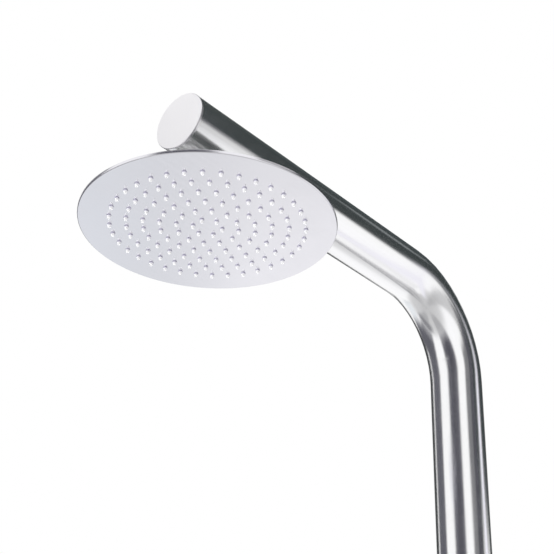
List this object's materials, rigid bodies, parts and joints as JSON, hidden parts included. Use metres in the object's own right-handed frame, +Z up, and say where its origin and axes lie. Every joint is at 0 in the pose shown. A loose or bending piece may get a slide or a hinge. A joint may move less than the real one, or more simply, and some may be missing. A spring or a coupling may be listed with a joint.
{
  "type": "outdoor shower post",
  "caption": "Floor-standing outdoor shower: bent tube post with an overhead arm, a round rain head on a ball joint and a quarter-turn valve.",
  "frame": {"origin": "centre of the base plate's underside, on the floor and on the post's centreline", "axes": "+Z up along the post, the arm and the valve point along -Y, +X is to the right of someone who faces the valve"},
  "size_m": [0.203, 0.5565, 2.175],
  "materials": {
    "brushed_tube": "satin",
    "brushed_sheet": "satin",
    "turned_steel": "satin",
    "screw_steel": "satin",
    "chromed_brass": "polished",
    "raw_brass": "satin",
    "hose_rubber": "matte",
    "seal_rubber": "matte",
    "silicone": "satin",
    "white_plastic": "satin",
    "black_plastic": "matte",
    "white_ceramic": "satin"
  },
  "bodies": {
    "post": {"post_tube": "brushed_tube", "end_cap": "brushed_sheet", "base_flange": "turned_steel", "inlet_saddle": "turned_steel", "inlet_nipple": "chromed_brass", "inlet_elbow": "raw_brass", "outlet_saddle": "turned_steel", "outlet_nipple": "chromed_brass", "outlet_elbow": "raw_brass", "supply_hose_lower": "hose_rubber", "supply_hose_upper": "hose_rubber", "hose_ferrules": "screw_steel", "valve_body": "raw_brass", "valve_saddle": "turned_steel", "valve_housing": "turned_steel", "cartridge_seal": "seal_rubber", "fixed_disc": "white_ceramic", "valve_cartridge": "white_plastic", "bonnet_nut": "raw_brass", "handle_glide_ring": "black_plastic", "filter_screen": "screw_steel", "ball_seal": "seal_rubber", "swivel_collar": "chromed_brass"},
    "handle": {"handle_knob": "turned_steel", "handle_lever": "turned_steel", "handle_screw": "screw_steel", "valve_spindle": "raw_brass", "turning_disc": "white_ceramic"},
    "seat": {"ball_seat": "white_plastic"},
    "head": {"swivel_ball": "chromed_brass", "flow_restrictor": "white_plastic", "head_gasket": "seal_rubber", "head_lock_nut": "raw_brass", "head_back_shell": "brushed_sheet", "head_face_plate": "brushed_sheet", "nozzle_mat": "silicone"}
  },
  "joints": [
    {"name": "handle_turn", "type": "hinge", "parent": "post", "child": "handle", "pos_m": [0, -0.058, 1.1], "axis": [0, -1, 0], "range_deg": [0, 90]},
    {"name": "head_turn", "type": "hinge", "parent": "post", "child": "seat", "pos_m": [0, -0.355, 2.0979], "axis": [0, 0, 1], "continuous": true},
    {"name": "head_tilt", "type": "hinge", "parent": "seat", "child": "head", "pos_m": [0, -0.355, 2.0979], "axis": [1, 0, 0], "range_deg": [-15, 15]}
  ]
}
